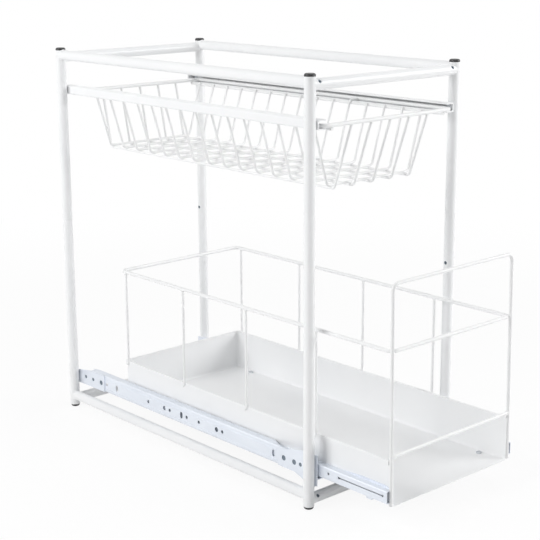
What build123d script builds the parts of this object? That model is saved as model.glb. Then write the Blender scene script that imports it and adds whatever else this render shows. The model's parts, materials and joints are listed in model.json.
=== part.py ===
from build123d import *
import os
from math import asin, atan2, cos, hypot, radians, sin, sqrt

# Under sink organizer: a frame of round tubes, a wire basket that slides in two channels above,
# and a drawer with a wire railing on two ball slides below.
# X points right, Y points back and Z points up. The drawer stands partly pulled out, as shown.
# All sizes are in millimetres. Heights are above the floor, and places along Y are taken from the
# middle of the frame until each piece is written, when the whole part is centred over its origin.

# Frame tubes
overall_height = 490.0
tube_diameter = 12.7
tube_wall = 0.8
post_span_x = 232.4
post_span_y = 465.2
post_joint_height = 262.7
post_joint_chamfer = 0.35
top_rail_drop = 9.3
top_cross_rail_drop = 12.2
bottom_rail_height = 16.2
bottom_cross_rail_height = 11.1
slip_clearance = 0.05
overrun = 30.0

# Caps and feet
cap_height = 3.3
cap_dome = 2.2
cap_shank_length = 9.0
foot_height = 3.4
foot_diameter = 11.6
foot_rounding = 2.4
foot_shank_length = 8.0

# Spigots, stubs and their set screws
spigot_length = 50.0
spigot_wall = 1.2
stub_length = 22.0
stub_wall = 1.2
set_screw_diameter = 4.2
set_screw_length = 3.4
set_screw_recess = 0.5
set_screw_socket_diameter = 2.1
set_screw_socket_depth = 1.4
post_screw_drop = 14.6
rail_screw_offset = 3.1
rail_screw_angle = 33.0

# Basket channels
channel_drop = 60.4
channel_height = 11.0
channel_depth = 11.8
channel_sheet = 1.5
channel_bend = 2.2
channel_end_setback = 0.45
channel_stop_thickness = 1.5
channel_screw_diameter = 4.0
channel_screw_head_diameter = 7.0
channel_screw_head_height = 1.9
channel_screw_length = 7.0
channel_screw_slot_width = 1.0
channel_screw_slot_depth = 0.9

# Basket wires
running_gap = 0.3
rim_wire = 4.8
rim_side_play = 2.75
rim_bend = 7.0
basket_opening = 14.5
basket_stop_gap = 0.4
basket_shortfall = 17.1
runner_wire = 3.8
runner_inset = 12.8
mesh_wire = 3.1
cross_wire_count = 15
first_cross_wire_inset = 31.7
last_cross_wire_inset = 22.2
cross_wire_bend = 6.0
cross_wire_tip = 1.2
basket_depth = 72.4
basket_floor_inset = 36.7
wires_before_hooked_count = 4
hooked_wire_bend = 4.0
long_wire_count = 5
outer_long_wire_inset = 5.1
long_wire_bend = 6.0
long_wire_end_run = 6.5

# Drawer slides
slide_rise = 28.8
slide_outer_height = 23.0
slide_outer_depth = 9.7
slide_outer_sheet = 1.0
slide_outer_bend = 1.8
slide_outer_lip = 1.0
slide_groove_radius = 0.45
slide_groove_inset = 5.0
slide_outer_front_inset = 0.95
slide_outer_back_inset = 7.95
slide_nose_length = 60.0
slide_nose_slant = 20.0
slide_tail_length = 34.0
slide_tail_drop = 5.0
slide_inner_sheet = 1.0
slide_inner_bend = 1.6
slide_front_setback = 0.5
slide_side_gap = 1.45
ball_gap = 3.0
ball_gap_clearance = 0.15
cage_sheet = 0.5
cage_gap = 0.3
cage_length = 114.0
cage_bend = 1.0
cage_flange_reach = 6.9
ball_count = 9
ball_pitch = 12.0
ball_inset = 3.5
bracket_sheet = 1.2

# Holes in the outer slide member: insets are from the frame's front or back, places from its middle
front_slot_inset = 73.55
back_slot_inset = 95.15
middle_slot_place = 6.4
back_hole_inset = 72.25
small_hole_places = (74.8, 30.0, -4.2, -28.1, -73.0)
large_hole_places = (41.0, -62.2)
front_rivet_insets = (54.8, 37.3)
back_rivet_inset = 60.85
small_front_rivet_inset = 27.0
small_back_rivet_insets = (42.15, 25.15)
slot_width = 5.0
slot_length = 8.6
small_hole_diameter = 4.4
large_hole_diameter = 6.2
rivet_diameter = 6.4
small_rivet_diameter = 4.8
rivet_recess = 0.35

# Slide brackets
front_bracket_length = 64.0
back_bracket_length = 68.0
bracket_head_rise = 18.2
bracket_head_length = 24.0
bracket_head_slope_start = 52.0
bracket_slope_start = 37.0
bracket_slope_end = 21.4
bracket_slope_drop = 5.2
bracket_corner_rise = 9.2
bracket_corner_radius = 6.0
bracket_foot_gap = 0.15

# Details of the inner slide member: its slot with a hole at each end, one more hole, and its rib
inner_slot_near = 6.1
inner_slot_far = 71.9
inner_slot_rise = 0.9
inner_slot_width = 1.2
inner_hole_diameter = 3.0
inner_hole_inset = 88.3
inner_rib_rise = 2.3
inner_rib_front_slope = 10.0
inner_rib_level_end = 45.0
inner_rib_length = 88.0

# Drawer tray
drawer_opening = 102.0
drawer_full_travel = 280.0
tray_front_overhang = 2.0
tray_back_setback = 1.9
tray_bottom_drop = 12.9
tray_wall_height = 52.9
tray_sheet = 1.0
tray_bend = 4.0
hem_reach = 2.3
hem_height = 5.5
hem_front_setback = 5.0
hem_notch_gap = 0.4
tray_screw_diameter = 4.0
tray_screw_head_diameter = 6.5
tray_screw_head_height = 2.0
tray_screw_length = 4.0
tray_screw_slot_width = 1.0
tray_screw_slot_depth = 0.8
tray_screw_inset = 7.4
tray_screw_front_inset = 34.0
tray_screw_back_inset = 30.0
slide_lug_width = 8.0
slide_lug_reach = 13.5

# Drawer railing
railing_wire = 4.6
railing_rise = 121.4
railing_side_reach = 1.2
railing_front_setback = 4.0
railing_back_reach = 2.3
railing_bend = 8.0
upright_wire = 3.4
upright_count = 4
first_upright_inset = 113.0
last_upright_inset = 9.3
upright_hem_reach = 3.5
handle_wire = 4.2
handle_rise = 73.5
handle_bend = 8.0
handle_foot_rise = 1.9
handle_side_reach = 0.4
handle_spread_share = 0.0041
handle_lean_share = 0.0145
front_wire = 4.0
front_wire_rise = 5.0

# Worked out from the sizes above
tube_radius = tube_diameter / 2
tube_bore_radius = tube_radius - tube_wall
post_x = post_span_x / 2
post_y = post_span_y / 2
post_inner_x = post_x - tube_radius
post_top = overall_height - cap_height
frame_half_depth = post_y + tube_radius
spigot_radius = tube_bore_radius - slip_clearance
top_rail_height = overall_height - top_rail_drop
top_cross_rail_height = overall_height - top_cross_rail_drop

channel_bottom = overall_height - channel_drop
channel_half_length = frame_half_depth - channel_end_setback
channel_inner_back = channel_half_length - channel_stop_thickness

rim_half_width = post_inner_x - channel_sheet - rim_side_play - rim_wire / 2
rim_back = channel_inner_back - basket_stop_gap - rim_wire / 2 - basket_opening
rim_front = rim_back + basket_shortfall - 2 * channel_half_length
rim_height = channel_bottom + channel_sheet + running_gap + rim_wire / 2
runner_half_width = rim_half_width - runner_inset
runner_height = rim_height - (rim_wire + runner_wire) / 2
basket_floor_half_width = rim_half_width - basket_floor_inset
basket_floor_height = rim_height - basket_depth
first_cross_wire = rim_front + first_cross_wire_inset
last_cross_wire = rim_back - last_cross_wire_inset
cross_wire_pitch = (last_cross_wire - first_cross_wire) / (cross_wire_count - 1)
long_floor_height = basket_floor_height - mesh_wire
long_wire_pitch = 2 * (basket_floor_half_width - outer_long_wire_inset) / (long_wire_count - 1)

slide_height = bottom_rail_height + slide_rise
slide_web_x = post_inner_x - bracket_sheet
slide_outer_front = slide_outer_front_inset - frame_half_depth
slide_outer_back = frame_half_depth - slide_outer_back_inset
slide_outer_top = slide_height + slide_outer_height / 2
slide_outer_bottom = slide_height - slide_outer_height / 2
slide_inner_height = slide_outer_height - 2 * (slide_outer_sheet + ball_gap)
cage_x = slide_web_x - slide_outer_sheet - cage_gap
slide_inner_web_x = cage_x - cage_sheet - cage_gap
ball_diameter = ball_gap - ball_gap_clearance * 2
ball_row_offset = slide_inner_height / 2 + ball_gap / 2

bracket_foot_height = bottom_cross_rail_height + tube_radius + bracket_foot_gap
bracket_corner_height = bracket_foot_height + bracket_corner_rise
bracket_head_height = slide_height + bracket_head_rise

tray_half_width = slide_web_x - slide_outer_depth - slide_side_gap
tray_front = -frame_half_depth - tray_front_overhang - drawer_opening
tray_back = frame_half_depth - tray_back_setback - drawer_opening
tray_bottom = slide_height - tray_bottom_drop
tray_wall_top = tray_bottom + tray_wall_height
slide_inner_depth = slide_inner_web_x - tray_half_width
slide_inner_front = tray_front + slide_front_setback
slide_inner_back = slide_outer_back - drawer_opening
race_front = slide_outer_front + slide_nose_length + slide_nose_slant / 2
cage_middle_open = race_front + cage_length / 2
cage_middle = cage_middle_open + (drawer_full_travel - drawer_opening) / 2

railing_height = tray_wall_top + railing_rise
railing_half_width = tray_half_width + railing_side_reach
railing_front = tray_front + railing_front_setback
railing_back = tray_back + railing_back_reach
upright_x = tray_half_width + upright_wire / 2
first_upright = railing_front + first_upright_inset
last_upright = railing_back - last_upright_inset
upright_pitch = (last_upright - first_upright) / (upright_count - 1)
upright_places = [first_upright + n * upright_pitch for n in range(upright_count)]

handle_height = railing_height + handle_rise
handle_foot_height = tray_bottom + handle_foot_rise
handle_rim_half_width = railing_half_width + handle_side_reach
handle_touch = railing_bend + (railing_wire + handle_wire) / 2
handle_touch_x = handle_side_reach + railing_bend
handle_rim_y = railing_front + railing_bend - sqrt(handle_touch**2 - handle_touch_x**2)
front_wire_height = tray_wall_top + front_wire_rise


def handle_x(height):
    """Half the distance between the handle's legs at a height."""
    return handle_rim_half_width + (railing_height - height) * handle_spread_share


def handle_y(height):
    """Place along Y of the handle's legs at a height."""
    return handle_rim_y - (railing_height - height) * handle_lean_share


front_reach = handle_y(handle_foot_height) - handle_wire / 2
origin_y = (front_reach + frame_half_depth) / 2

sides = {"left": -1, "right": 1}
ends = {"front": -1, "back": 1}


def save(shape, name):
    """Centre the shape over the part's origin and write it under its node name."""
    export_step(Pos(0, -origin_y, 0) * shape, f"parts/{name}.step")


def group(solids):
    """Several separate solids that share one node."""
    return Compound(children=list(solids))


def rod(radius, start, end):
    """Straight round bar from one point to another."""
    run = Vector(*end) - Vector(*start)
    return extrude(Plane(origin=start, z_dir=run) * Circle(radius), run.length)


def pipe(radius, bore_radius, start, end):
    """Straight round tube from one point to another."""
    run = Vector(*end) - Vector(*start)
    ring = Circle(radius) - Circle(bore_radius)
    return extrude(Plane(origin=start, z_dir=run) * ring, run.length)


def wire(diameter, points, bend):
    """Round wire bent through the points, with one radius for all bends."""
    path = FilletPolyline(*points, radius=bend)
    section = Plane(origin=path @ 0, z_dir=path % 0) * Circle(diameter / 2)
    return sweep(section, path=path)


def wire_loop(diameter, half_width, front, back, height, bend):
    """Closed rectangular loop of round wire, lying level."""
    middle = (front + back) / 2
    outline = RectangleRounded(2 * half_width, back - front, bend).face().outer_wire()
    path = outline.moved(Pos(0, middle, height))
    section = Plane(origin=path @ 0, z_dir=path % 0) * Circle(diameter / 2)
    return sweep(section, path=path)


def set_screw(seat, direction):
    """Headless screw with a round socket: its outer end is at the seat, pointing out along direction."""
    plane = Plane(origin=seat, z_dir=direction)
    body = extrude(plane * Circle(set_screw_diameter / 2), -set_screw_length)
    socket = extrude(plane * Circle(set_screw_socket_diameter / 2), -set_screw_socket_depth)
    return body - socket


def set_screw_hole(seat, direction):
    """Cutter for a set screw, from inside the tube to well outside it."""
    plane = Plane(origin=seat, z_dir=direction)
    radius = set_screw_diameter / 2 + slip_clearance
    inward = extrude(plane * Circle(radius), -set_screw_length - slip_clearance)
    outward = extrude(plane * Circle(radius), tube_radius)
    return inward + outward


def headed_screw(seat, direction, shank, length, head, head_height, slot_width, slot_depth):
    """Slotted screw: the head sits on the seat and the shank runs against direction."""
    plane = Plane(origin=seat, z_dir=direction)
    body = extrude(plane * Circle(shank / 2), -length) + extrude(plane * Circle(head / 2), head_height)
    rim = body.edges().filter_by(GeomType.CIRCLE).sort_by(Axis(seat, direction))[-1]
    body = fillet(rim, head_height / 2)
    slot_plane = Plane(origin=seat, z_dir=direction).offset(head_height - slot_depth)
    return body - extrude(slot_plane * Rectangle(head, slot_width), slot_depth + overrun)


def open_channel(depth, height, sheet, bend, lip=0):
    """Outline of a bent channel: web on the first axis' zero, mouth towards its positive end."""
    outer = Pos(depth, 0) * RectangleRounded(2 * depth, height, bend)
    inner = Pos(depth + sheet, 0) * RectangleRounded(2 * depth, height - 2 * sheet, bend - sheet)
    outline = (outer - inner) & (Pos(depth / 2, 0) * Rectangle(depth, height))
    if lip:
        for way in (-1, 1):
            lip_middle = way * (height / 2 - sheet - lip / 2)
            outline += Pos(depth - sheet / 2, lip_middle) * Rectangle(sheet, lip)
    return outline


def channel_along_y(outline, web_x, side, inward, front, back, height):
    """Channel outline drawn out along Y, with its web at web_x on one side."""
    mouth = -side if inward else side
    plane = Plane(origin=(side * web_x, front, height), x_dir=(mouth, 0, 0), z_dir=(0, 1, 0))
    bar = extrude(plane * outline, back - front)
    return bar


# Frame

def post_screw_seat(side, end):
    """Outer end of a post's set screw, on the post's inner side."""
    return (side * (post_inner_x + set_screw_recess), end * post_y, post_joint_height - post_screw_drop)


def rail_screw_direction(end):
    """Way that a cross rail's set screws point: outwards and up."""
    return (0, end * cos(radians(rail_screw_angle)), sin(radians(rail_screw_angle)))


def rail_screw_seat(side, end, height):
    """Outer end of a cross rail's set screw."""
    way = rail_screw_direction(end)
    reach = tube_radius - set_screw_recess
    return (side * (post_inner_x - rail_screw_offset), end * post_y + way[1] * reach, height + way[2] * reach)


def channel_screw_seat(side, end):
    """Face of the basket channel's web under a screw head."""
    middle = channel_bottom + channel_height / 2
    return (side * (post_inner_x - channel_sheet), end * post_y, middle)


def upper_post(side, end):
    """Upper tube of a post, with the hole for the channel's screw."""
    x, y = side * post_x, end * post_y
    tube = pipe(tube_radius, tube_bore_radius, (x, y, post_joint_height), (x, y, post_top))
    rims = tube.edges().filter_by(GeomType.CIRCLE).group_by(Axis.Z)
    tube = chamfer(rims[0].sort_by(SortBy.RADIUS)[-1], post_joint_chamfer)
    seat = channel_screw_seat(side, end)
    hole_end = (seat[0] + side * channel_screw_length, seat[1], seat[2])
    return tube - rod(channel_screw_diameter / 2 + slip_clearance, seat, hole_end)


def lower_post(side, end):
    """Lower tube of a post, with the hole for the spigot's screw."""
    x, y = side * post_x, end * post_y
    tube = pipe(tube_radius, tube_bore_radius, (x, y, foot_height), (x, y, post_joint_height))
    rims = tube.edges().filter_by(GeomType.CIRCLE).group_by(Axis.Z)
    tube = chamfer(rims[-1].sort_by(SortBy.RADIUS)[-1], post_joint_chamfer)
    return tube - set_screw_hole(post_screw_seat(side, end), (-side, 0, 0))


def post_spigot(side, end):
    """Short tube inside a post's joint."""
    x, y = side * post_x, end * post_y
    low = (x, y, post_joint_height - spigot_length / 2)
    high = (x, y, post_joint_height + spigot_length / 2)
    tube = pipe(spigot_radius, spigot_radius - spigot_wall, low, high)
    return tube - set_screw_hole(post_screw_seat(side, end), (-side, 0, 0))


def long_rail(side, height):
    """Side rail, shaped at its ends to the posts by cutters whose seams are turned off its sides."""
    x = side * post_x
    rail = pipe(tube_radius, tube_bore_radius, (x, -post_y, height), (x, post_y, height))
    for end in ends.values():
        base = (x, end * post_y, height - overrun)
        turned = Plane(origin=base, x_dir=(1, 1, 0), z_dir=(0, 0, 1))
        rail -= extrude(turned * Circle(tube_radius), 2 * overrun)
    return rail


def cross_rail(end, height, side_rail_height):
    """Front or back rail, shaped at its ends to the posts and side rails."""
    y = end * post_y
    rail = pipe(tube_radius, tube_bore_radius, (-post_x, y, height), (post_x, y, height))
    for side in sides.values():
        x = side * post_x
        rail -= rod(tube_radius, (x, y, height - overrun), (x, y, height + overrun))
        rail -= rod(tube_radius, (x, y, side_rail_height), (x, y - end * overrun, side_rail_height))
        rail -= set_screw_hole(rail_screw_seat(side, end, height), rail_screw_direction(end))
    return rail


def rail_stub(side, end, height, side_rail_height):
    """Short tube on a post, inside a cross rail's end."""
    x, y = side * post_x, end * post_y
    tip = (side * (post_inner_x - stub_length), y, height)
    stub = pipe(spigot_radius, spigot_radius - stub_wall, (x, y, height), tip)
    stub -= rod(tube_radius, (x, y, height - overrun), (x, y, height + overrun))
    stub -= rod(tube_radius, (x, y, side_rail_height), (x, y - end * overrun, side_rail_height))
    return stub - set_screw_hole(rail_screw_seat(side, end, height), rail_screw_direction(end))


def top_cap(side, end):
    """Plug with a low domed head, in the top of a post."""
    x, y = side * post_x, end * post_y
    head = Pos(x, y, post_top) * extrude(Circle(tube_radius), cap_height)
    head = fillet(head.edges().sort_by(Axis.Z)[-1], cap_dome)
    shank = rod(spigot_radius, (x, y, post_top - cap_shank_length), (x, y, post_top))
    return head + shank


def foot(side, end):
    """Plug with a flat foot and a rounded edge, in the bottom of a post."""
    x, y = side * post_x, end * post_y
    pad = Pos(x, y, 0) * extrude(Circle(foot_diameter / 2), foot_height)
    pad = fillet(pad.edges().sort_by(Axis.Z)[0], foot_rounding)
    return pad + rod(spigot_radius, (x, y, foot_height), (x, y, foot_height + foot_shank_length))


def make_frame():
    """All tubes, plugs and set screws of the frame."""
    corners = [(side, end) for side in sides for end in ends]
    for side, end in corners:
        place = (sides[side], ends[end])
        save(upper_post(*place), f"post_upper_{end}_{side}")
        save(lower_post(*place), f"post_lower_{end}_{side}")
        save(top_cap(*place), f"top_cap_{end}_{side}")
        save(foot(*place), f"foot_{end}_{side}")
    for side in sides:
        save(long_rail(sides[side], top_rail_height), f"top_rail_{side}")
        save(long_rail(sides[side], bottom_rail_height), f"bottom_rail_{side}")
    for end in ends:
        save(cross_rail(ends[end], top_cross_rail_height, top_rail_height), f"top_rail_{end}")
        save(cross_rail(ends[end], bottom_cross_rail_height, bottom_rail_height), f"bottom_rail_{end}")
    places = [(sides[side], ends[end]) for side, end in corners]
    levels = ((top_cross_rail_height, top_rail_height), (bottom_cross_rail_height, bottom_rail_height))
    save(group(post_spigot(*place) for place in places), "post_spigots")
    save(group(set_screw(post_screw_seat(*place), (-place[0], 0, 0)) for place in places), "post_screws")
    save(group(rail_stub(*place, *level) for place in places for level in levels), "rail_stubs")
    rail_screws = [
        set_screw(rail_screw_seat(*place, height), rail_screw_direction(place[1]))
        for place in places
        for height, side_rail_height in levels
    ]
    save(group(rail_screws), "rail_screws")


# Basket channels

def basket_channel(side):
    """Channel on the inner side of the posts, closed at the back by a bent tab."""
    outline = open_channel(channel_depth, channel_height, channel_sheet, channel_bend)
    front, back = -channel_half_length, channel_half_length
    middle = channel_bottom + channel_height / 2
    bar = channel_along_y(outline, post_inner_x, side, True, front, back, middle)
    tab_x = side * (post_inner_x - (channel_sheet + channel_depth) / 2)
    bar += Pos(tab_x, back - channel_stop_thickness / 2, middle) * Box(
        channel_depth - channel_sheet, channel_stop_thickness, channel_height - 2 * channel_sheet
    )
    for end in ends.values():
        seat = channel_screw_seat(side, end)
        hole_end = (seat[0] + side * channel_screw_length, seat[1], seat[2])
        bar -= rod(channel_screw_diameter / 2 + slip_clearance, seat, hole_end)
    return bar


def channel_screw(side, end):
    """Screw through the channel's web into a post."""
    return headed_screw(
        channel_screw_seat(side, end),
        (-side, 0, 0),
        channel_screw_diameter,
        channel_screw_length,
        channel_screw_head_diameter,
        channel_screw_head_height,
        channel_screw_slot_width,
        channel_screw_slot_depth,
    )


def make_basket_channels():
    """Both channels and their screws."""
    for side in sides:
        save(basket_channel(sides[side]), f"basket_channel_{side}")
    screws = [channel_screw(side, end) for side in sides.values() for end in ends.values()]
    save(group(screws), "basket_channel_screws")


# Basket

def leg_tangent():
    """Point where a cross wire's leg touches the inside of the runner wire, seen along Y."""
    across = runner_half_width - basket_floor_half_width
    rise = runner_height - basket_floor_height
    touch = (runner_wire + mesh_wire) / 2
    angle = atan2(rise, across) + asin(touch / hypot(across, rise))
    run = sqrt(across**2 + rise**2 - touch**2) + cross_wire_tip
    return basket_floor_half_width + run * cos(angle), basket_floor_height + run * sin(angle)


def cross_wire(number):
    """Wire bent under the basket from one runner to the other."""
    y = first_cross_wire + number * cross_wire_pitch
    top_x, top_height = leg_tangent()
    points = [
        (-top_x, y, top_height),
        (-basket_floor_half_width, y, basket_floor_height),
        (basket_floor_half_width, y, basket_floor_height),
        (top_x, y, top_height),
    ]
    if number == wires_before_hooked_count:
        hook_height = runner_height + (runner_wire + mesh_wire) / 2
        hook_end = rim_half_width - (rim_wire + mesh_wire) / 2
        points[-1] = (top_x, y, hook_height)
        points.append((hook_end + mesh_wire / 2, y, hook_height))
        return wire_with_hook(points)
    return wire(mesh_wire, points, cross_wire_bend)


def wire_with_hook(points):
    """Cross wire with one end bent over the runner to the rim."""
    bends = [cross_wire_bend, cross_wire_bend, hooked_wire_bend]
    path = FilletPolyline(*points, radius=bends)
    section = Plane(origin=path @ 0, z_dir=path % 0) * Circle(mesh_wire / 2)
    return sweep(section, path=path)


def long_wire(number):
    """Wire bent under the cross wires from the front rim to the back rim."""
    x = (number - (long_wire_count - 1) / 2) * long_wire_pitch
    tip_height = rim_height - rim_wire / 2
    points = [
        (x, rim_front, tip_height),
        (x, first_cross_wire - long_wire_end_run, long_floor_height),
        (x, last_cross_wire + long_wire_end_run, long_floor_height),
        (x, rim_back, tip_height),
    ]
    return wire(mesh_wire, points, long_wire_bend)


def make_basket():
    """All wires of the basket."""
    loop = wire_loop(rim_wire, rim_half_width, rim_front, rim_back, rim_height, rim_bend)
    save(loop, "basket_rim")
    for side in sides:
        x = sides[side] * runner_half_width
        runner = rod(runner_wire / 2, (x, rim_front, runner_height), (x, rim_back, runner_height))
        save(runner, f"basket_runner_{side}")
    save(group(cross_wire(n) for n in range(cross_wire_count)), "basket_cross_wires")
    save(group(long_wire(n) for n in range(long_wire_count)), "basket_long_wires")


# Drawer slides

def hole_through_web(side, y, diameter):
    """Cutter across the slide's web and bracket."""
    return rod(diameter / 2, (0, y, slide_height), (side * (post_inner_x + overrun), y, slide_height))


def rivet_places():
    """Place and diameter of each rivet along one slide."""
    large = [inset - frame_half_depth for inset in front_rivet_insets]
    large.append(frame_half_depth - back_rivet_inset)
    small = [frame_half_depth - inset for inset in small_back_rivet_insets]
    small.append(small_front_rivet_inset - frame_half_depth)
    return [(y, rivet_diameter) for y in large] + [(y, small_rivet_diameter) for y in small]


def slot_places():
    """Places along Y of the upright slots in the outer slide member."""
    return (front_slot_inset - frame_half_depth, middle_slot_place, frame_half_depth - back_slot_inset)


def slide_outer(side):
    """Outer slide member: a channel with its mouth towards the drawer and two rolled grooves."""
    outline = open_channel(
        slide_outer_depth, slide_outer_height, slide_outer_sheet, slide_outer_bend, slide_outer_lip
    )
    groove_offset = slide_outer_height / 2 - slide_groove_inset
    for way in (-1, 1):
        outline -= Pos(0, way * groove_offset) * Circle(slide_groove_radius)
    bar = channel_along_y(outline, slide_web_x, side, True, slide_outer_front, slide_outer_back, slide_height)
    for y in (*small_hole_places, frame_half_depth - back_hole_inset):
        bar -= hole_through_web(side, y, small_hole_diameter)
    for y in large_hole_places:
        bar -= hole_through_web(side, y, large_hole_diameter)
    for y, diameter in rivet_places():
        bar -= hole_through_web(side, y, diameter + 2 * slip_clearance)
    for y in slot_places():
        plane = Plane(origin=(0, y, slide_height), x_dir=(0, 0, 1), z_dir=(side, 0, 0))
        bar -= extrude(plane * SlotOverall(slot_length, slot_width), post_inner_x + overrun)
    return bar - slide_tail_cut() - slide_nose_cut(side)


def slide_nose_cut(side):
    """Cutter that takes the slide's upper flange off its front end, up to the web and on a slant."""
    web, mouth = side * (slide_web_x - slide_outer_sheet), side * (slide_web_x - slide_outer_depth)
    before = slide_outer_front - overrun
    web_end = slide_outer_front + slide_nose_length
    mouth_end = web_end + slide_nose_slant
    outline = ((0, before), (web, before), (web, web_end), (mouth, mouth_end), (0, mouth_end))
    low = slide_outer_top - slide_outer_bend - slide_outer_lip
    return Pos(0, 0, low) * extrude(make_face(Polyline(*outline, close=True)), overrun, dir=(0, 0, 1))


def slide_tail_cut():
    """Wedge that lowers the slide's top edge towards its back end."""
    start = slide_outer_back - slide_tail_length
    outline = [
        (start, slide_outer_top),
        (slide_outer_back + overrun, slide_outer_top),
        (slide_outer_back + overrun, slide_outer_top - slide_tail_drop),
        (slide_outer_back, slide_outer_top - slide_tail_drop),
    ]
    wedge = make_face(Plane.YZ * Polyline(*outline, close=True))
    return extrude(wedge, post_x, both=True)


def front_bracket_outline():
    """Edge of a front bracket, drawn as distance from the frame's middle and height."""
    far = frame_half_depth
    near = far - front_bracket_length
    low = bracket_foot_height
    corner_end = bracket_corner_height - bracket_corner_radius
    foot_end = far - bracket_corner_radius
    bulge = bracket_corner_radius * cos(radians(45))
    foot_start = far - bracket_slope_end
    upper = Polyline(
        (near, slide_outer_top),
        (far - bracket_head_slope_start, slide_outer_top),
        (far - bracket_head_length, bracket_head_height),
        (far, bracket_head_height),
        (far, bracket_corner_height),
    )
    corner = ThreePointArc(
        (far, bracket_corner_height), (far - bulge, corner_end + bulge), (foot_end, corner_end)
    )
    lower = Polyline(
        (foot_end, corner_end),
        (foot_end, low),
        (foot_start, low),
        (foot_start, slide_outer_bottom - bracket_slope_drop),
        (far - bracket_slope_start, slide_outer_bottom),
        (near, slide_outer_bottom),
        (near, slide_outer_top),
    )
    return upper + corner + lower


def back_bracket_outline():
    """Edge of a back bracket, as Y and height: its top goes down with the slide's tail."""
    near, far = frame_half_depth - back_bracket_length, frame_half_depth
    tail_top = slide_outer_top - slide_tail_drop
    corners = (
        (near, slide_outer_bottom),
        (far, slide_outer_bottom),
        (far, tail_top),
        (slide_outer_back, tail_top),
        (slide_outer_back - slide_tail_length, slide_outer_top),
        (near, slide_outer_top),
    )
    return Polyline(*corners, close=True)


def slide_bracket(side, end):
    """Plate that holds the slide against a post."""
    outline = back_bracket_outline() if end > 0 else front_bracket_outline()
    plate = extrude(Plane.YZ * make_face(outline), bracket_sheet)
    plate = Pos(post_inner_x - bracket_sheet, 0, 0) * plate
    if end < 0:
        plate = mirror(plate, about=Plane.XZ)
    if side < 0:
        plate = mirror(plate, about=Plane.YZ)
    for y, diameter in rivet_places():
        plate -= hole_through_web(side, y, diameter + 2 * slip_clearance)
    return plate


def rivet(side, y, diameter):
    """Rivet through the slide's web and bracket, a little below the bracket's face."""
    inner_end = (side * (slide_web_x - slide_outer_sheet), y, slide_height)
    outer_end = (side * (post_inner_x - rivet_recess), y, slide_height)
    return rod(diameter / 2, inner_end, outer_end)


def ball_places(side):
    """Centres of the balls in one cage."""
    x = side * (slide_inner_web_x - ball_inset)
    first = cage_middle - (ball_count - 1) * ball_pitch / 2
    return [
        (x, first + n * ball_pitch, slide_height + row * ball_row_offset)
        for row in (-1, 1)
        for n in range(ball_count)
    ]


def ball_cage(side):
    """Thin channel between the slide members, with a pocket for each ball."""
    outline = open_channel(cage_flange_reach, 2 * ball_row_offset + cage_sheet, cage_sheet, cage_bend)
    front, back = cage_middle - cage_length / 2, cage_middle + cage_length / 2
    cage = channel_along_y(outline, cage_x, side, True, front, back, slide_height)
    for place in ball_places(side):
        cage -= Pos(*place) * Sphere(ball_diameter / 2 + slip_clearance)
    return cage


def tray_screw_places():
    """Places along Y of the screws that hold the inner slide members to the tray."""
    return (tray_front + tray_screw_front_inset, slide_inner_back - tray_screw_back_inset)


def tray_screw_hole(side, y):
    """Cutter for a tray screw, through the tray's floor and the inner slide member's lug."""
    x = side * (tray_half_width - tray_screw_inset)
    radius = tray_screw_diameter / 2 + slip_clearance
    return rod(radius, (x, y, tray_bottom - tray_screw_length), (x, y, slide_height))


def slide_lug(side, y):
    """Tab from the inner slide member's lower flange, bent under the tray's floor."""
    top = slide_height - slide_inner_height / 2 + slide_inner_sheet
    low = tray_bottom - slide_inner_sheet
    outer = tray_half_width + slide_inner_sheet
    middle = side * (outer - slide_inner_sheet / 2)
    upright_tab = Pos(middle, y, (top + low) / 2) * Box(slide_inner_sheet, slide_lug_width, top - low)
    level = Pos(side * (outer - slide_lug_reach / 2), y, tray_bottom - slide_inner_sheet / 2)
    return upright_tab + level * Box(slide_lug_reach, slide_lug_width, slide_inner_sheet)


def slide_rib(side):
    """Low rib on the inner slide member, bent up against the tray's wall, with sloping ends."""
    base = slide_height + slide_inner_height / 2 - slide_inner_sheet
    crest = slide_height + slide_inner_height / 2 + inner_rib_rise
    front = slide_inner_front
    outline = (
        (front, base),
        (front + inner_rib_front_slope, crest),
        (front + inner_rib_level_end, crest),
        (front + inner_rib_length, base),
    )
    face = make_face(Plane.YZ * Polyline(*outline, close=True))
    return extrude(Pos(side * tray_half_width, 0, 0) * face, slide_inner_sheet, dir=(side, 0, 0))


def handle_leg_relief(side):
    """Cutter round a handle leg, through the front ends of the inner slide member's flanges."""
    low, high = tray_bottom, slide_outer_top
    start = (side * handle_x(low), handle_y(low), low)
    end = (side * handle_x(high), handle_y(high), high)
    return rod(handle_wire / 2 + running_gap, start, end)


def slide_inner(side):
    """Inner slide member: a channel with its flanges against the tray's wall."""
    outline = open_channel(slide_inner_depth, slide_inner_height, slide_inner_sheet, slide_inner_bend)
    front, back = slide_inner_front, slide_inner_back
    bar = channel_along_y(outline, slide_inner_web_x, side, True, front, back, slide_height)
    bar += slide_rib(side)
    bar -= handle_leg_relief(side)
    level = slide_height + inner_slot_rise
    reach = side * slide_inner_web_x
    for inset in (inner_slot_near, inner_slot_far, inner_hole_inset):
        bar -= rod(inner_hole_diameter / 2, (0, front + inset, level), (reach, front + inset, level))
    slot_middle = front + (inner_slot_near + inner_slot_far) / 2
    plane = Plane(origin=(0, slot_middle, level), x_dir=(0, 1, 0), z_dir=(side, 0, 0))
    slot = Rectangle(inner_slot_far - inner_slot_near, inner_slot_width)
    bar -= extrude(plane * slot, slide_inner_web_x)
    for y in tray_screw_places():
        bar += slide_lug(side, y)
        bar -= tray_screw_hole(side, y)
    return bar


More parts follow.
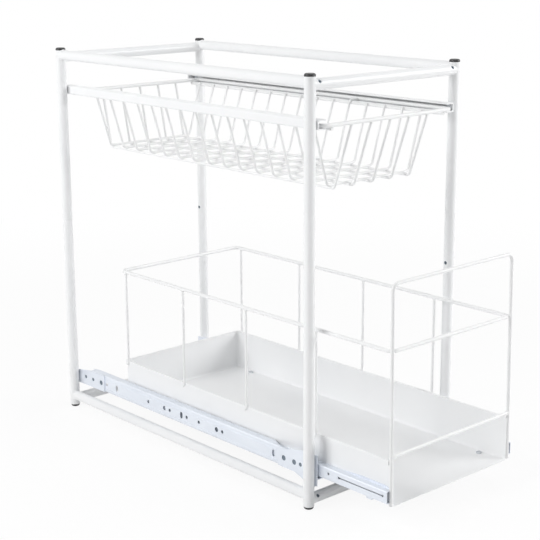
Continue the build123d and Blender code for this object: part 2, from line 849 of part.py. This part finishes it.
def make_slides():
    """Both drawer slides with their brackets, rivets, cages and balls."""
    for side in sides:
        way = sides[side]
        save(slide_outer(way), f"slide_outer_{side}")
        save(slide_inner(way), f"slide_inner_{side}")
        save(ball_cage(way), f"ball_cage_{side}")
        balls = [Pos(*place) * Sphere(ball_diameter / 2) for place in ball_places(way)]
        save(group(balls), f"slide_balls_{side}")
        for end in ends:
            save(slide_bracket(way, ends[end]), f"slide_bracket_{end}_{side}")
    rivets = [rivet(side, y, diameter) for side in sides.values() for y, diameter in rivet_places()]
    save(group(rivets), "slide_rivets")


# Drawer tray

def tray_block(inset, top):
    """Solid with the tray's outer shape, drawn in by an inset and open-ended at the front."""
    width = 2 * (tray_half_width - inset)
    front, back = tray_front - overrun, tray_back - inset
    low = tray_bottom + inset
    height = top + overrun - low
    block = Pos(0, (front + back) / 2, low + height / 2) * Box(width, back - front, height)
    lowest = block.edges().group_by(Axis.Z)[0]
    low_edges = lowest.filter_by(Axis.Y) + [lowest.filter_by(Axis.X).sort_by(Axis.Y)[-1]]
    corner_edges = block.edges().filter_by(Axis.Z).group_by(Axis.Y)[-1]
    return fillet(low_edges + corner_edges, tray_bend - inset)


def plan_block(reach, low, top):
    """Solid with the tray's plan, grown by a reach, between two heights."""
    front, back = tray_front - overrun, tray_back + reach
    plan = RectangleRounded(2 * (tray_half_width + reach), back - front, tray_bend + reach)
    return Pos(0, (front + back) / 2, low) * extrude(plan, top - low)


def tray_hem():
    """Edge of the tray's walls, turned outwards and down."""
    low = tray_wall_top - hem_height
    turned = plan_block(hem_reach, low, tray_wall_top)
    turned -= plan_block(hem_reach - tray_sheet, low, tray_wall_top)
    level = plan_block(hem_reach, tray_wall_top - tray_sheet, tray_wall_top)
    level -= plan_block(-tray_sheet, tray_wall_top - tray_sheet, tray_wall_top)
    hem = turned + level
    hem_front = tray_front + hem_front_setback
    hem -= Pos(0, hem_front - post_y, tray_wall_top) * Box(2 * post_x, 2 * post_y, 2 * hem_height + overrun)
    notch_width = upright_wire + 2 * hem_notch_gap
    for side in sides.values():
        for y in upright_places:
            hem -= Pos(side * (tray_half_width + overrun / 2), y, tray_wall_top) * Box(
                overrun, notch_width, 2 * hem_height + overrun
            )
    return hem


def tray():
    """Folded sheet tray with an open front."""
    shell = tray_block(0, tray_wall_top) - tray_block(tray_sheet, tray_wall_top + overrun)
    shell -= Pos(0, tray_front - post_y, 0) * Box(2 * post_x, 2 * post_y, 2 * overall_height)
    shell -= Pos(0, 0, tray_wall_top + post_y) * Box(2 * post_x, 4 * post_y, 2 * post_y)
    shell += tray_hem()
    for side in sides.values():
        for y in tray_screw_places():
            shell -= tray_screw_hole(side, y)
    return shell


def tray_screw(side, y):
    """Screw from inside the tray, down into the inner slide member's lug."""
    return headed_screw(
        (side * (tray_half_width - tray_screw_inset), y, tray_bottom + tray_sheet),
        (0, 0, 1),
        tray_screw_diameter,
        tray_screw_length,
        tray_screw_head_diameter,
        tray_screw_head_height,
        tray_screw_slot_width,
        tray_screw_slot_depth,
    )


# Drawer railing and handle

def upright(side, y):
    """Wire from the tray's wall up to the railing."""
    x = side * upright_x
    low = tray_wall_top - upright_hem_reach
    top = railing_height - railing_wire / 2
    return rod(upright_wire / 2, (x, y, low), (x, y, top))


def handle():
    """Wire hoop that stands on the tray's front corners."""
    points = [
        (-handle_x(handle_foot_height), handle_y(handle_foot_height), handle_foot_height),
        (-handle_x(handle_height), handle_y(handle_height), handle_height),
        (handle_x(handle_height), handle_y(handle_height), handle_height),
        (handle_x(handle_foot_height), handle_y(handle_foot_height), handle_foot_height),
    ]
    return wire(handle_wire, points, handle_bend)


def front_bar(hoop):
    """Wire across the drawer's open front, between the handle's legs."""
    x = handle_x(front_wire_height)
    y = handle_y(front_wire_height)
    return rod(front_wire / 2, (-x, y, front_wire_height), (x, y, front_wire_height)) - hoop


def make_drawer():
    """Tray, its screws, the railing and the handle."""
    save(tray(), "tray")
    save(group(tray_screw(side, y) for side in sides.values() for y in tray_screw_places()), "tray_screws")
    front, back = railing_front, railing_back
    loop = wire_loop(railing_wire, railing_half_width, front, back, railing_height, railing_bend)
    save(loop, "drawer_railing")
    for side in sides:
        save(group(upright(sides[side], y) for y in upright_places), f"drawer_uprights_{side}")
    hoop = handle()
    save(hoop, "drawer_handle")
    save(front_bar(hoop), "drawer_front_wire")


os.makedirs("parts", exist_ok=True)
make_frame()
make_basket_channels()
make_basket()
make_slides()
make_drawer()
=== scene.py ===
import json
import math

import bpy
from mathutils import Matrix, Vector


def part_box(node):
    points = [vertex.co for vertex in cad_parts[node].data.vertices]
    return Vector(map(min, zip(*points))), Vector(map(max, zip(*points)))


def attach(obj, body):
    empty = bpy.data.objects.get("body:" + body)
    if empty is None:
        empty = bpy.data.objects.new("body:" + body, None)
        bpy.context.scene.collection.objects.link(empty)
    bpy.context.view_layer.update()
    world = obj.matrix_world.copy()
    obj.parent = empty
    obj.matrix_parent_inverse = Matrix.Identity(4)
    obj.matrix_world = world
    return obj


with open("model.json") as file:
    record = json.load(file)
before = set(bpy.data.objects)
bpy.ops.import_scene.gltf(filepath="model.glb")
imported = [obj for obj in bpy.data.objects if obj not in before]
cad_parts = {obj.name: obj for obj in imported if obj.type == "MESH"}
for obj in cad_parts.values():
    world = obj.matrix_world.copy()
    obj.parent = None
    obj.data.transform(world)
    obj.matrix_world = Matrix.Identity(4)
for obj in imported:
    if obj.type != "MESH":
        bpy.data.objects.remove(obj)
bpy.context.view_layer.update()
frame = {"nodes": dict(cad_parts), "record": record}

# Camera, as solved from the photograph, in metres and degrees
camera_place = Vector((-1.07992, -1.17921, 0.62819))
camera_yaw = -42.20
camera_pitch = 14.14
camera_roll = -0.27
focal_pixels = 1324.08
frame_pixels = 540
sensor_width = 36.0
camera_far = 20.0

# Lamps, in metres and watts, and the light of the surroundings
world_strength = 0.225
lamp_target = (0.0, 0.0, 0.25)
key_place = (-2.3, 0.6, 1.6)
key_size = 1.6
key_power = 46.0
fill_place = (1.9, -2.0, 1.2)
fill_size = 1.5
fill_power = 49.0
top_place = (0.3, -0.5, 2.6)
top_size = 1.6
top_power = 14.0
white = (1.0, 1.0, 1.0, 1.0)

# Floor, in metres, and how white it looks beside the object
floor_reach = 12.0
floor_near = 0.55
floor_far = 1.50
floor_near_white = 0.90
floor_roughness = 0.9

# Sizes of the object that its weld details follow, in metres
tube_radius = 0.00635
mesh_wire_radius = 0.00155
runner_wire_radius = 0.0019
rim_wire_radius = 0.0024
railing_wire_radius = 0.0023
upright_wire_radius = 0.0017
handle_wire_radius = 0.0021
cross_wire_count = 15
long_wire_count = 5
upright_count = 4
basket_floor_inset = 0.0367
railing_bend = 0.0080
handle_side_reach = 0.0004
tray_wall_depth = 0.0023

# Screws with a bright zinc plating
bright_screws = ("tray_screws", "basket_channel_screws")

# Weld details, in metres
bead_radius = 0.0011
bead_least_radius = 0.00015
bead_inset = 0.0003
bead_steps = 96
bead_ripples = 22
bead_ripple_share = 0.16
ring_sides = 10
nugget_rings = 6
nugget_sides = 12
nugget_long = 0.0021
nugget_short = 0.0011
collar_long = 0.0027
collar_short = 0.0012

# Part of a noise texture's values that is spread over a range
noise_low = 0.3
noise_high = 0.7

# Powder paint: waves per metre, and changes of roughness
paint_drift_waves = 9.0
paint_gloss_waves = 60.0
paint_gloss_less = 0.05
paint_gloss_more = 0.06
paint_peel_waves = 650.0
paint_grain_waves = 2600.0
paint_grain_share = 0.15

# Zinc plating: waves per metre, stretch along the slides, and change of roughness
plating_cloud_waves = 45.0
plating_cloud_stretch = (1.0, 0.25, 1.0)
rolling_waves = 900.0
rolling_stretch = (1.0, 0.02, 1.0)
rolling_gloss = 0.07
plating_grain_waves = 1500.0
plating_grain_share = 0.5

# Moulded plastic: waves per metre, changes of roughness, and height of the grain in metres
plastic_tone_waves = 300.0
plastic_gloss_waves = 1200.0
plastic_gloss_less = 0.06
plastic_gloss_more = 0.08
plastic_grain_waves = 2400.0
plastic_grain_height = 0.00002

# Sockets of a mix node that blends colours
mix_first_colour = 6
mix_second_colour = 7
mix_result_colour = 2


# Mesh tools

def add_mesh(name, vertices, faces, body, material):
    """New smooth mesh object that rides on a body and takes its finish from a slot."""
    mesh = bpy.data.meshes.new(name)
    mesh.from_pydata([tuple(v) for v in vertices], [], faces)
    mesh.validate()
    mesh.update()
    for polygon in mesh.polygons:
        polygon.use_smooth = True
    piece = bpy.data.objects.new(name, mesh)
    bpy.context.collection.objects.link(piece)
    mesh.materials.append(material)
    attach(piece, body)


def closed_tube(rings):
    """Vertices and faces that join equal rings into one closed loop of tube."""
    sides = len(rings[0])
    vertices = [point for ring in rings for point in ring]
    faces = []
    for step in range(len(rings)):
        here, after = step * sides, (step + 1) % len(rings) * sides
        for side in range(sides):
            turned = (side + 1) % sides
            faces.append((here + side, here + turned, after + turned, after + side))
    return vertices, faces


def blob(centre, axes):
    """Rounded lump of molten metal: three half axes about a centre, poles on the last one."""
    vertices = [centre - axes[2], centre + axes[2]]
    poles = len(vertices)
    for ring in range(1, nugget_rings):
        tilt = math.pi * ring / nugget_rings
        for side in range(nugget_sides):
            turn = math.tau * side / nugget_sides
            across = axes[0] * math.cos(turn) + axes[1] * math.sin(turn)
            vertices.append(centre - axes[2] * math.cos(tilt) + across * math.sin(tilt))
    faces = []
    bands = nugget_rings - poles
    last = poles + bands * nugget_sides
    for side in range(nugget_sides):
        turned = (side + 1) % nugget_sides
        faces.append((0, poles + turned, poles + side))
        faces.append((1, last + side, last + turned))
        for band in range(bands):
            here = poles + band * nugget_sides
            after = here + nugget_sides
            faces.append((here + side, here + turned, after + turned, after + side))
    return vertices, faces


def add_blobs(name, blobs, body, material):
    """One mesh object of several lumps."""
    vertices, faces = [], []
    for centre, axes in blobs:
        points, loops = blob(Vector(centre), [Vector(axis) for axis in axes])
        first = len(vertices)
        vertices += points
        faces += [tuple(first + index for index in loop) for loop in loops]
    add_mesh(name, vertices, faces, body, material)


def node_middle(node):
    """Centre of a node's box."""
    low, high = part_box(node)
    return (Vector(low) + Vector(high)) / 2


def level_axes(along_x, along_y, along_z):
    """Half axes of a lump that lies square to the part."""
    return ((along_x, 0.0, 0.0), (0.0, along_y, 0.0), (0.0, 0.0, along_z))


# Weld beads of the frame

def bead_ring(post_centre, height, way, turn):
    """Ring of the bead at one place round the joint of a long rail and a post."""
    reach = tube_radius - bead_inset
    outward = Vector((math.cos(turn), 0.0, math.sin(turn)))
    depth = way * reach * abs(math.sin(turn))
    centre = Vector((post_centre.x, post_centre.y + depth, height)) + outward * reach
    ripple = 1.0 + bead_ripple_share * math.sin(bead_ripples * turn)
    radius = bead_least_radius + (bead_radius - bead_least_radius) * abs(math.sin(turn)) * ripple
    side_way = Vector((0.0, 1.0, 0.0))
    return [
        centre + radius * (outward * math.cos(angle) + side_way * math.sin(angle))
        for angle in (math.tau * side / ring_sides for side in range(ring_sides))
    ]


def add_rail_beads(material):
    """Bead round each end of the four long rails."""
    for level, post in (("top", "upper"), ("bottom", "lower")):
        for side in ("left", "right"):
            height = node_middle(f"{level}_rail_{side}").z
            for end, way in (("front", 1.0), ("back", -1.0)):
                post_centre = node_middle(f"post_{post}_{end}_{side}")
                turns = [math.tau * step / bead_steps for step in range(bead_steps)]
                rings = [bead_ring(post_centre, height, way, turn) for turn in turns]
                vertices, faces = closed_tube(rings)
                name = f"weld_bead_{level}_{end}_{side}"
                add_mesh(name, vertices, faces, "frame", material)


# Spot welds of the basket

def even_places(low, high, radius, count):
    """Centres of evenly spaced wires in a node's box, along one axis."""
    first, last = low + radius, high - radius
    return [first + (last - first) * n / (count - 1) for n in range(count)]


def runner_contact(side, cross_height):
    """Place where the cross wires' legs touch a runner, and the way across that contact."""
    runner = node_middle("basket_runner_right")
    rim_half_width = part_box("basket_rim")[1][0] - rim_wire_radius
    floor_half_width = rim_half_width - basket_floor_inset
    across = runner.x - floor_half_width
    rise = runner.z - cross_height
    touch = runner_wire_radius + mesh_wire_radius
    angle = math.atan2(rise, across) + math.asin(touch / math.hypot(across, rise))
    way = Vector((-math.sin(angle), 0.0, math.cos(angle)))
    place = Vector((runner.x, 0.0, runner.z)) + way * runner_wire_radius
    return Vector((side * place.x, 0.0, place.z)), Vector((side * way.x, 0.0, way.z))


def add_basket_welds(material):
    """Spot welds where the basket's wires cross."""
    cross_low, cross_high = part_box("basket_cross_wires")
    long_low, long_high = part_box("basket_long_wires")
    rim_low, rim_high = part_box("basket_rim")
    cross_height = cross_low[2] + mesh_wire_radius
    cross_places = even_places(cross_low[1], cross_high[1], mesh_wire_radius, cross_wire_count)
    long_places = even_places(long_low[0], long_high[0], mesh_wire_radius, long_wire_count)
    flat = level_axes(nugget_long, nugget_long, nugget_short)
    floor_welds = [((x, y, cross_low[2]), flat) for y in cross_places for x in long_places]
    add_blobs("basket_floor_welds", floor_welds, "basket", material)

    side_welds = []
    for side in (-1, 1):
        place, way = runner_contact(side, cross_height)
        around = Vector((way.z, 0.0, -way.x))
        axes = (around * nugget_long, Vector((0.0, nugget_long, 0.0)), way * nugget_short)
        side_welds += [(place + Vector((0.0, y, 0.0)), axes) for y in cross_places]
    add_blobs("basket_runner_welds", side_welds, "basket", material)

    rim_height = rim_low[2]
    runner_x = node_middle("basket_runner_right").x
    ends = (rim_low[1] + rim_wire_radius, rim_high[1] - rim_wire_radius)
    rim_welds = [((x, y, rim_height), flat) for y in ends for x in (*long_places, -runner_x, runner_x)]
    add_blobs("basket_rim_welds", rim_welds, "basket", material)


# Welds of the drawer's wires

def add_drawer_welds(material):
    """Welds of the uprights, the handle and the front wire."""
    railing_low, railing_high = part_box("drawer_railing")
    upright_low, upright_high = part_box("drawer_uprights_right")
    upright_x = (upright_low[0] + upright_high[0]) / 2
    upright_ys = even_places(upright_low[1], upright_high[1], upright_wire_radius, upright_count)
    wall_x = upright_low[0]
    collar = level_axes(collar_long, collar_long, collar_short)
    seam = level_axes(collar_short, collar_long, collar_long)
    welds = []
    for side in (-1, 1):
        for y in upright_ys:
            welds.append(((side * upright_x, y, upright_high[2]), collar))
            welds.append(((side * wall_x, y, upright_low[2] + tray_wall_depth), seam))

    railing_height = (railing_low[2] + railing_high[2]) / 2
    corner_x = railing_high[0] - railing_wire_radius - railing_bend
    corner_y = railing_low[1] + railing_wire_radius + railing_bend
    touch = railing_bend + railing_wire_radius + handle_wire_radius
    across = handle_side_reach + railing_bend
    forward = math.sqrt(touch**2 - across**2)
    way = Vector((across, -forward, 0.0)) / touch
    around = Vector((way.y, -way.x, 0.0))
    for side in (-1, 1):
        place = Vector((corner_x, corner_y, railing_height)) + way * (railing_bend + railing_wire_radius)
        axes = [around * nugget_long, Vector((0.0, 0.0, nugget_long)), way * nugget_short]
        turned = [Vector((side * axis.x, axis.y, axis.z)) for axis in axes]
        welds.append((Vector((side * place.x, place.y, place.z)), turned))

    front_wire = node_middle("drawer_front_wire")
    wire_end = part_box("drawer_front_wire")[1][0]
    for side in (-1, 1):
        welds.append(((side * (wire_end - collar_short), front_wire.y, front_wire.z), seam))
    add_blobs("drawer_welds", welds, "drawer", material)


# Camera

def make_camera():
    """Camera at the photograph's place, angle and lens."""
    yaw, pitch, roll = (math.radians(a) for a in (camera_yaw, camera_pitch, camera_roll))
    forward = Vector((-math.sin(yaw) * math.cos(pitch), math.cos(yaw) * math.cos(pitch), -math.sin(pitch)))
    right = Vector((math.cos(yaw), math.sin(yaw), 0.0))
    up = right.cross(forward)
    rolled_right = right * math.cos(roll) + up * math.sin(roll)
    rolled_up = up * math.cos(roll) - right * math.sin(roll)
    data = bpy.data.cameras.new("camera")
    data.sensor_fit = "HORIZONTAL"
    data.sensor_width = sensor_width
    data.lens = focal_pixels / frame_pixels * sensor_width
    data.clip_end = camera_far
    camera = bpy.data.objects.new("camera", data)
    bpy.context.collection.objects.link(camera)
    axes = Matrix((rolled_right, rolled_up, -forward)).transposed().to_4x4()
    camera.matrix_world = Matrix.Translation(camera_place) @ axes
    bpy.context.scene.camera = camera


# Light, floor and background

def aim(thing, target):
    """Turn a lamp so that it shines at a point."""
    thing.rotation_euler = (Vector(target) - thing.location).to_track_quat("-Z", "Y").to_euler()


def area_lamp(name, place, target, size, power):
    """Large square softbox."""
    data = bpy.data.lights.new(name, "AREA")
    data.shape = "SQUARE"
    data.size = size
    data.energy = power
    lamp = bpy.data.objects.new(name, data)
    bpy.context.collection.objects.link(lamp)
    lamp.location = place
    aim(lamp, target)


def seen_share(tree):
    """1 for rays from the camera, mirrors and glass, and 0 for rays that light things."""
    path = tree.nodes.new("ShaderNodeLightPath")
    first = tree.nodes.new("ShaderNodeMath")
    first.operation = "MAXIMUM"
    tree.links.new(path.outputs["Is Camera Ray"], first.inputs[0])
    tree.links.new(path.outputs["Is Glossy Ray"], first.inputs[1])
    second = tree.nodes.new("ShaderNodeMath")
    second.operation = "MAXIMUM"
    tree.links.new(first.outputs[0], second.inputs[0])
    tree.links.new(path.outputs["Is Transmission Ray"], second.inputs[1])
    return second.outputs[0]


def make_world(light_strength):
    """Even pale surroundings that look white and light the object plainly."""
    world = bpy.data.worlds.new("studio")
    bpy.context.scene.world = world
    world.use_nodes = True
    tree = world.node_tree
    background = tree.nodes["Background"]
    background.inputs["Color"].default_value = white
    strength = tree.nodes.new("ShaderNodeMapRange")
    strength.inputs["To Min"].default_value = light_strength
    strength.inputs["To Max"].default_value = 1.0
    tree.links.new(seen_share(tree), strength.inputs["Value"])
    tree.links.new(strength.outputs["Result"], background.inputs["Strength"])


def distance_share(tree):
    """White share of the floor: lower near the object, and 1 from the far distance on."""
    coordinates = tree.nodes.new("ShaderNodeTexCoord")
    length = tree.nodes.new("ShaderNodeVectorMath")
    length.operation = "LENGTH"
    tree.links.new(coordinates.outputs["Object"], length.inputs[0])
    share = tree.nodes.new("ShaderNodeMapRange")
    share.interpolation_type = "SMOOTHSTEP"
    share.inputs["From Min"].default_value = floor_near
    share.inputs["From Max"].default_value = floor_far
    share.inputs["To Min"].default_value = floor_near_white
    share.inputs["To Max"].default_value = 1.0
    tree.links.new(length.outputs["Value"], share.inputs["Value"])
    return share.outputs["Result"]


def make_floor():
    """Pale floor that looks white and still shows the object's shadow."""
    ways = ((-1, -1), (1, -1), (1, 1), (-1, 1))
    corners = [(x * floor_reach, y * floor_reach, 0.0) for x, y in ways]
    mesh = bpy.data.meshes.new("floor")
    mesh.from_pydata(corners, [], [tuple(range(len(corners)))])
    floor = bpy.data.objects.new("floor", mesh)
    bpy.context.collection.objects.link(floor)
    material = bpy.data.materials.new("floor")
    material.use_nodes = True
    tree = material.node_tree
    shader = tree.nodes["Principled BSDF"]
    shader.inputs["Base Color"].default_value = white
    shader.inputs["Roughness"].default_value = floor_roughness
    shader.inputs["Specular IOR Level"].default_value = 0.0
    glow = tree.nodes.new("ShaderNodeEmission")
    glow.inputs["Color"].default_value = white
    glow.inputs["Strength"].default_value = 1.0
    share = tree.nodes.new("ShaderNodeMath")
    share.operation = "MULTIPLY"
    tree.links.new(seen_share(tree), share.inputs[0])
    tree.links.new(distance_share(tree), share.inputs[1])
    mix = tree.nodes.new("ShaderNodeMixShader")
    tree.links.new(share.outputs[0], mix.inputs["Fac"])
    tree.links.new(shader.outputs[0], mix.inputs[1])
    tree.links.new(glow.outputs[0], mix.inputs[2])
    tree.links.new(mix.outputs[0], tree.nodes["Material Output"].inputs["Surface"])
    mesh.materials.append(material)


# Materials

def object_noise(tree, scale, detail=2.0, stretch=(1.0, 1.0, 1.0)):
    """Noise value in the object's own space, in waves per metre."""
    coordinates = tree.nodes.new("ShaderNodeTexCoord")
    mapping = tree.nodes.new("ShaderNodeMapping")
    mapping.inputs["Scale"].default_value = stretch
    tree.links.new(coordinates.outputs["Object"], mapping.inputs["Vector"])
    texture = tree.nodes.new("ShaderNodeTexNoise")
    texture.inputs["Scale"].default_value = scale
    texture.inputs["Detail"].default_value = detail
    tree.links.new(mapping.outputs["Vector"], texture.inputs["Vector"])
    return texture.outputs["Fac"]


def spread(tree, value, low, high):
    """Noise value spread over a range."""
    node = tree.nodes.new("ShaderNodeMapRange")
    node.inputs["From Min"].default_value = noise_low
    node.inputs["From Max"].default_value = noise_high
    node.inputs["To Min"].default_value = low
    node.inputs["To Max"].default_value = high
    tree.links.new(value, node.inputs["Value"])
    return node.outputs["Result"]


def two_tone(tree, value, first, second):
    """Colour between two tones, by a noise value."""
    node = tree.nodes.new("ShaderNodeMix")
    node.data_type = "RGBA"
    tree.links.new(spread(tree, value, 0.0, 1.0), node.inputs["Factor"])
    node.inputs[mix_first_colour].default_value = (*first, 1.0)
    node.inputs[mix_second_colour].default_value = (*second, 1.0)
    return node.outputs[mix_result_colour]


def bump_layers(tree, shader, layers):
    """Stacked bumps, each a noise value with a height in metres."""
    last = None
    for value, height in layers:
        bump = tree.nodes.new("ShaderNodeBump")
        bump.inputs["Strength"].default_value = 1.0
        bump.inputs["Distance"].default_value = height
        tree.links.new(value, bump.inputs["Height"])
        if last:
            tree.links.new(last.outputs["Normal"], bump.inputs["Normal"])
        last = bump
    tree.links.new(last.outputs["Normal"], shader.inputs["Normal"])


def new_material(name):
    """Empty node material and its parts."""
    material = bpy.data.materials.new(name)
    material.use_nodes = True
    tree = material.node_tree
    return material, tree, tree.nodes["Principled BSDF"]


def powder_coat(name, first, second, roughness, peel):
    """Baked powder paint: faint orange peel, uneven gloss and slight drifts of tone."""
    material, tree, shader = new_material(name)
    drift = object_noise(tree, paint_drift_waves, detail=3.0)
    tree.links.new(two_tone(tree, drift, first, second), shader.inputs["Base Color"])
    gloss = object_noise(tree, paint_gloss_waves, detail=3.0)
    share = spread(tree, gloss, roughness - paint_gloss_less, roughness + paint_gloss_more)
    tree.links.new(share, shader.inputs["Roughness"])
    coarse = object_noise(tree, paint_peel_waves, detail=1.0)
    fine = object_noise(tree, paint_grain_waves, detail=1.0)
    bump_layers(tree, shader, [(coarse, peel), (fine, peel * paint_grain_share)])
    return material


def plated_steel(name, first, second, roughness, metallic, streak):
    """Plated or polished steel: marks along its length and a cloudy tone."""
    material, tree, shader = new_material(name)
    cloud = object_noise(tree, plating_cloud_waves, detail=4.0, stretch=plating_cloud_stretch)
    tree.links.new(two_tone(tree, cloud, first, second), shader.inputs["Base Color"])
    shader.inputs["Metallic"].default_value = metallic
    marks = object_noise(tree, rolling_waves, detail=3.0, stretch=rolling_stretch)
    share = spread(tree, marks, roughness - rolling_gloss, roughness + rolling_gloss)
    tree.links.new(share, shader.inputs["Roughness"])
    grain = object_noise(tree, plating_grain_waves)
    bump_layers(tree, shader, [(marks, streak), (grain, streak * plating_grain_share)])
    return material


def moulded_plastic(name, first, second, roughness):
    """Black moulded plastic with a fine eroded texture."""
    material, tree, shader = new_material(name)
    tone = object_noise(tree, plastic_tone_waves)
    tree.links.new(two_tone(tree, tone, first, second), shader.inputs["Base Color"])
    gloss = object_noise(tree, plastic_gloss_waves)
    share = spread(tree, gloss, roughness - plastic_gloss_less, roughness + plastic_gloss_more)
    tree.links.new(share, shader.inputs["Roughness"])
    grain = object_noise(tree, plastic_grain_waves)
    bump_layers(tree, shader, [(grain, plastic_grain_height)])
    return material


def make_materials():
    """One material for each slot of the record, and the bright plating of the mounting screws."""
    finishes = {}
    for name, first, second, roughness, peel in (
        ("white_paint", (0.86, 0.87, 0.88), (0.90, 0.905, 0.91), 0.36, 0.00003),
        ("white_wire", (0.85, 0.86, 0.86), (0.90, 0.90, 0.905), 0.40, 0.00004),
    ):
        finishes[name] = powder_coat(name, first, second, roughness, peel)
    for name, first, second, roughness, metallic, streak in (
        ("slide_steel", (0.76, 0.80, 0.87), (0.82, 0.86, 0.92), 0.42, 0.35, 0.00001),
        # Ball cage: its near black tone is painted shade, standing in for the shade inside the slides'
        # channels seen through their holes
        ("cage_steel", (0.10, 0.12, 0.15), (0.20, 0.22, 0.25), 0.42, 0.6, 0.00001),
        ("ball_steel", (0.75, 0.76, 0.78), (0.82, 0.83, 0.84), 0.14, 1.0, 0.000002),
        # Screws and rivets: their dark tone is partly painted shade, standing in for the shade in and
        # round their holes
        ("screw_steel", (0.15, 0.19, 0.23), (0.22, 0.26, 0.30), 0.36, 0.7, 0.000008),
        ("screw_zinc", (0.58, 0.60, 0.63), (0.68, 0.70, 0.73), 0.34, 0.7, 0.000008),
        ("steel_inner", (0.45, 0.45, 0.46), (0.55, 0.55, 0.56), 0.5, 0.8, 0.00001),
    ):
        finishes[name] = plated_steel(name, first, second, roughness, metallic, streak)
    dark, darkest = (0.018, 0.018, 0.019), (0.010, 0.010, 0.011)
    finishes["black_plastic"] = moulded_plastic("black_plastic", darkest, dark, 0.30)
    return finishes


def dress_nodes(materials):
    """Give every CAD node the material of its slot, and the mounting screws a brighter plating."""
    for entry in frame["record"]["subparts"]:
        name = entry["node"]
        finish = "screw_zinc" if name in bright_screws else entry["material_slot"]
        mesh = frame["nodes"][name].data
        mesh.materials.clear()
        mesh.materials.append(materials[finish])


bpy.context.scene.view_settings.view_transform = "Standard"
materials = make_materials()
make_camera()
make_world(world_strength)
make_floor()
area_lamp("key", key_place, lamp_target, key_size, key_power)
area_lamp("fill", fill_place, lamp_target, fill_size, fill_power)
area_lamp("top", top_place, lamp_target, top_size, top_power)
dress_nodes(materials)
add_rail_beads(materials["white_paint"])
add_basket_welds(materials["white_wire"])
add_drawer_welds(materials["white_wire"])
